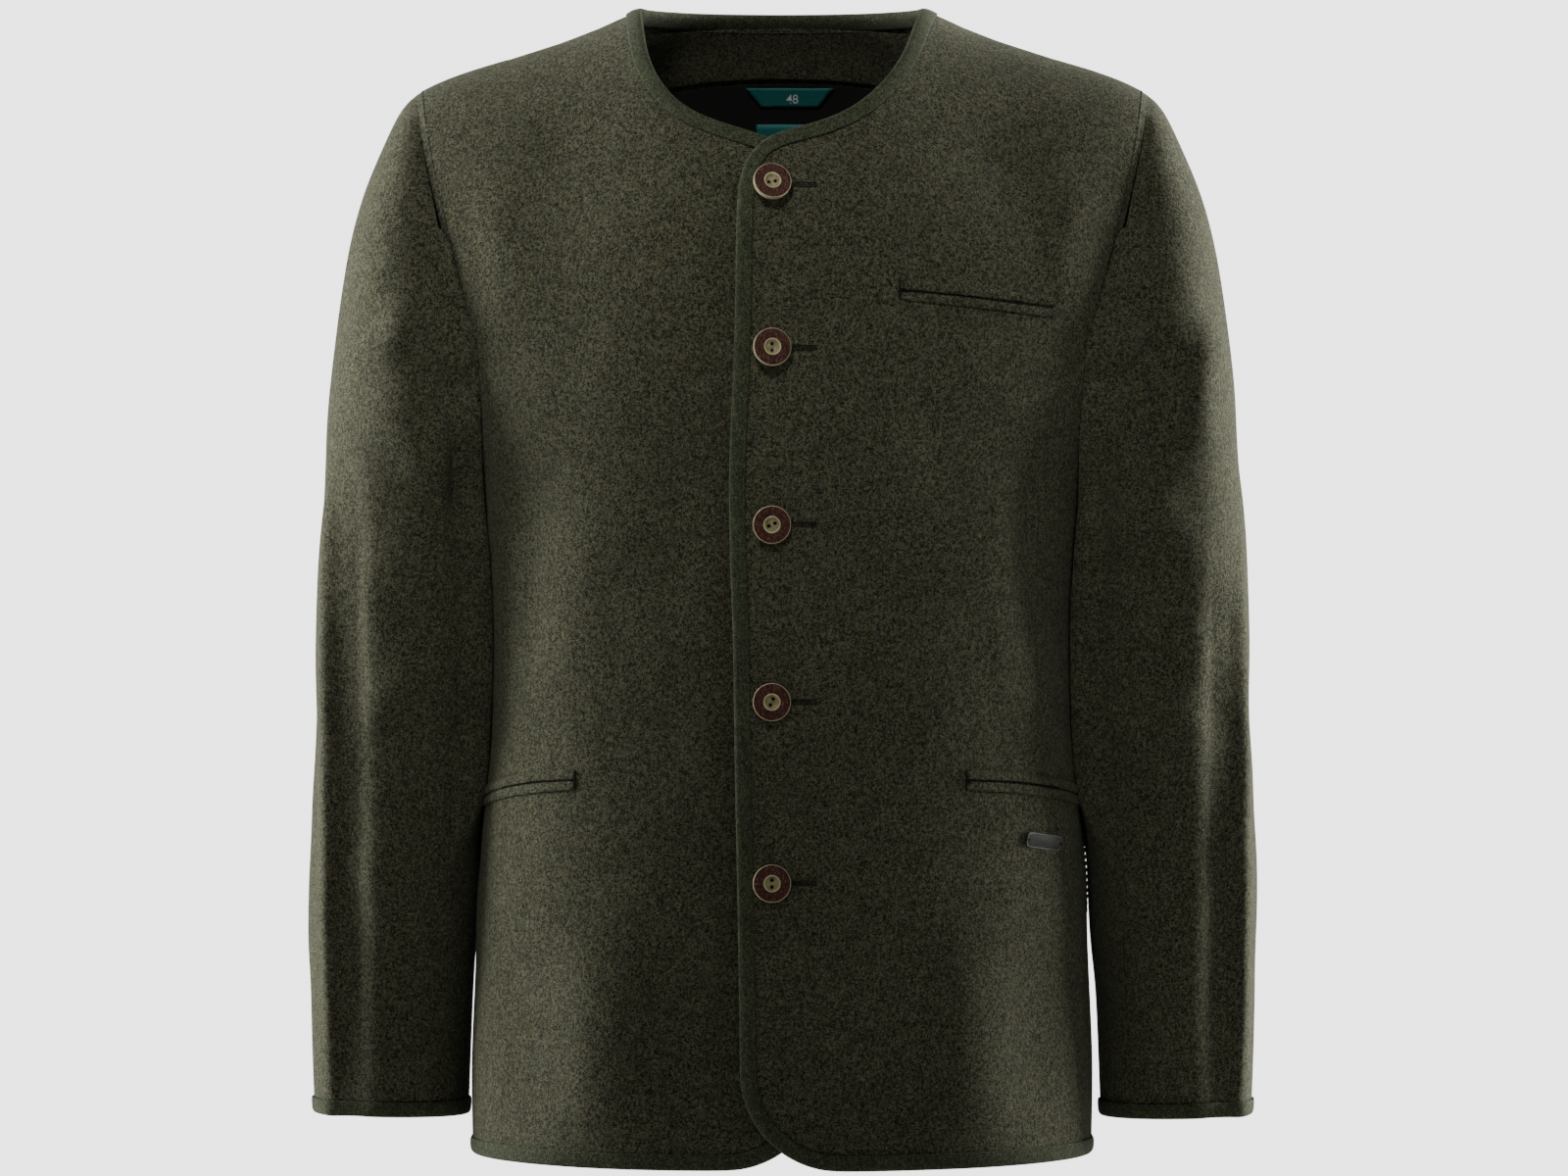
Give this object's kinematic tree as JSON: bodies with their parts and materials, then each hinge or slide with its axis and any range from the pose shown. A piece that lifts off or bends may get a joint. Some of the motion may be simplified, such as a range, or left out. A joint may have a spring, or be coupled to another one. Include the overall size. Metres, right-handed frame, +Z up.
{
  "type": "trachten jacket, worn form without a wearer",
  "caption": "Collarless single-breasted traditional wool jacket with bound edges, horn-style buttons, welt pockets and set-in sleeves, hollow in its worn form.",
  "frame": {"origin": "midway between the two neck points of the shoulder seams, where the wearer's shoulders carry the jacket", "axes": "+Z up along the wearer's body, -Y out of the jacket's front, +X to the wearer's left"},
  "size_m": [0.6014, 0.2679, 0.7268],
  "materials": {
    "loden": "mottled olive boiled wool with a short nap",
    "binding_felt": "plain pine green wool felt",
    "lining": "smooth black lining",
    "cord": "dark buttonhole thread",
    "label_weave": "woven teal ribbon",
    "horn": "stag-horn look, brown grain with an ivory core",
    "plate_metal": "brushed aged steel"
  },
  "bodies": {
    "root": {"back": "loden", "front_left": "loden", "front_right": "loden", "top_sleeve_left": "loden", "top_sleeve_right": "loden", "under_sleeve_left": "loden", "under_sleeve_right": "loden", "back_facing": "loden", "back_lining": "lining", "edge_binding_left": "binding_felt", "edge_binding_right": "binding_felt", "hem_binding_back": "binding_felt", "neck_binding_back": "binding_felt", "cuff_binding_left": "binding_felt", "cuff_binding_right": "binding_felt", "breast_pocket_welt_upper": "loden", "breast_pocket_welt_lower": "loden", "pocket_welt_upper_left": "loden", "pocket_welt_lower_left": "loden", "pocket_welt_upper_right": "loden", "pocket_welt_lower_right": "loden", "button_1": "horn", "button_2": "horn", "button_3": "horn", "button_4": "horn", "button_5": "horn", "buttonhole_1": "cord", "buttonhole_2": "cord", "buttonhole_3": "cord", "buttonhole_4": "cord", "buttonhole_5": "cord", "metal_plate": "plate_metal", "size_tab": "label_weave", "bare_label": "label_weave"}
  },
  "joints": []
}
